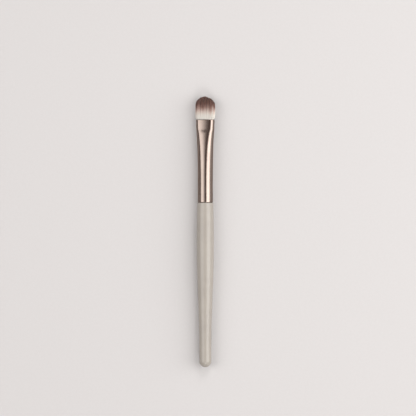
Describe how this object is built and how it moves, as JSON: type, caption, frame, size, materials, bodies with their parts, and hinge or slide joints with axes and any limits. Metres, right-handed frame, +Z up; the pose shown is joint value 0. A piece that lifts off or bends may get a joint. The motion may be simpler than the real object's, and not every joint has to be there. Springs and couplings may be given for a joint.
{
  "type": "eyeshadow brush",
  "caption": "Flat eyeshadow brush with a domed tuft, a long ferrule pressed flat at its mouth, and a turned handle with a slim round tail.",
  "frame": {"origin": "on the ground under the middle of the brush's length, with the brush on the belly of its handle", "axes": "+Y along the handle from the tail to the tuft, +Z up and square to the flat side of the tuft"},
  "size_m": [0.0104, 0.1449, 0.0092],
  "materials": {
    "birch": "turned and sanded birch, bare under the lacquer",
    "soft_touch_lacquer": "greige soft-touch lacquer with a broad satin sheen",
    "handle_glue": "set adhesive, hidden inside the ferrule",
    "anodised_aluminium": "bright bronze anodised aluminium, buffed before it was dyed",
    "root_resin": "set resin, hidden inside the ferrule",
    "thread": "tight whipping of fine thread, hidden inside the ferrule",
    "filament": "soft synthetic filaments, cream at the ferrule and brown to the tips"
  },
  "bodies": {
    "root": {"handle_core": "birch", "handle_lacquer": "soft_touch_lacquer", "tenon_glue": "handle_glue", "ferrule": "anodised_aluminium", "resin_plug": "root_resin", "root_thread": "thread", "bristles": "filament"}
  },
  "joints": []
}
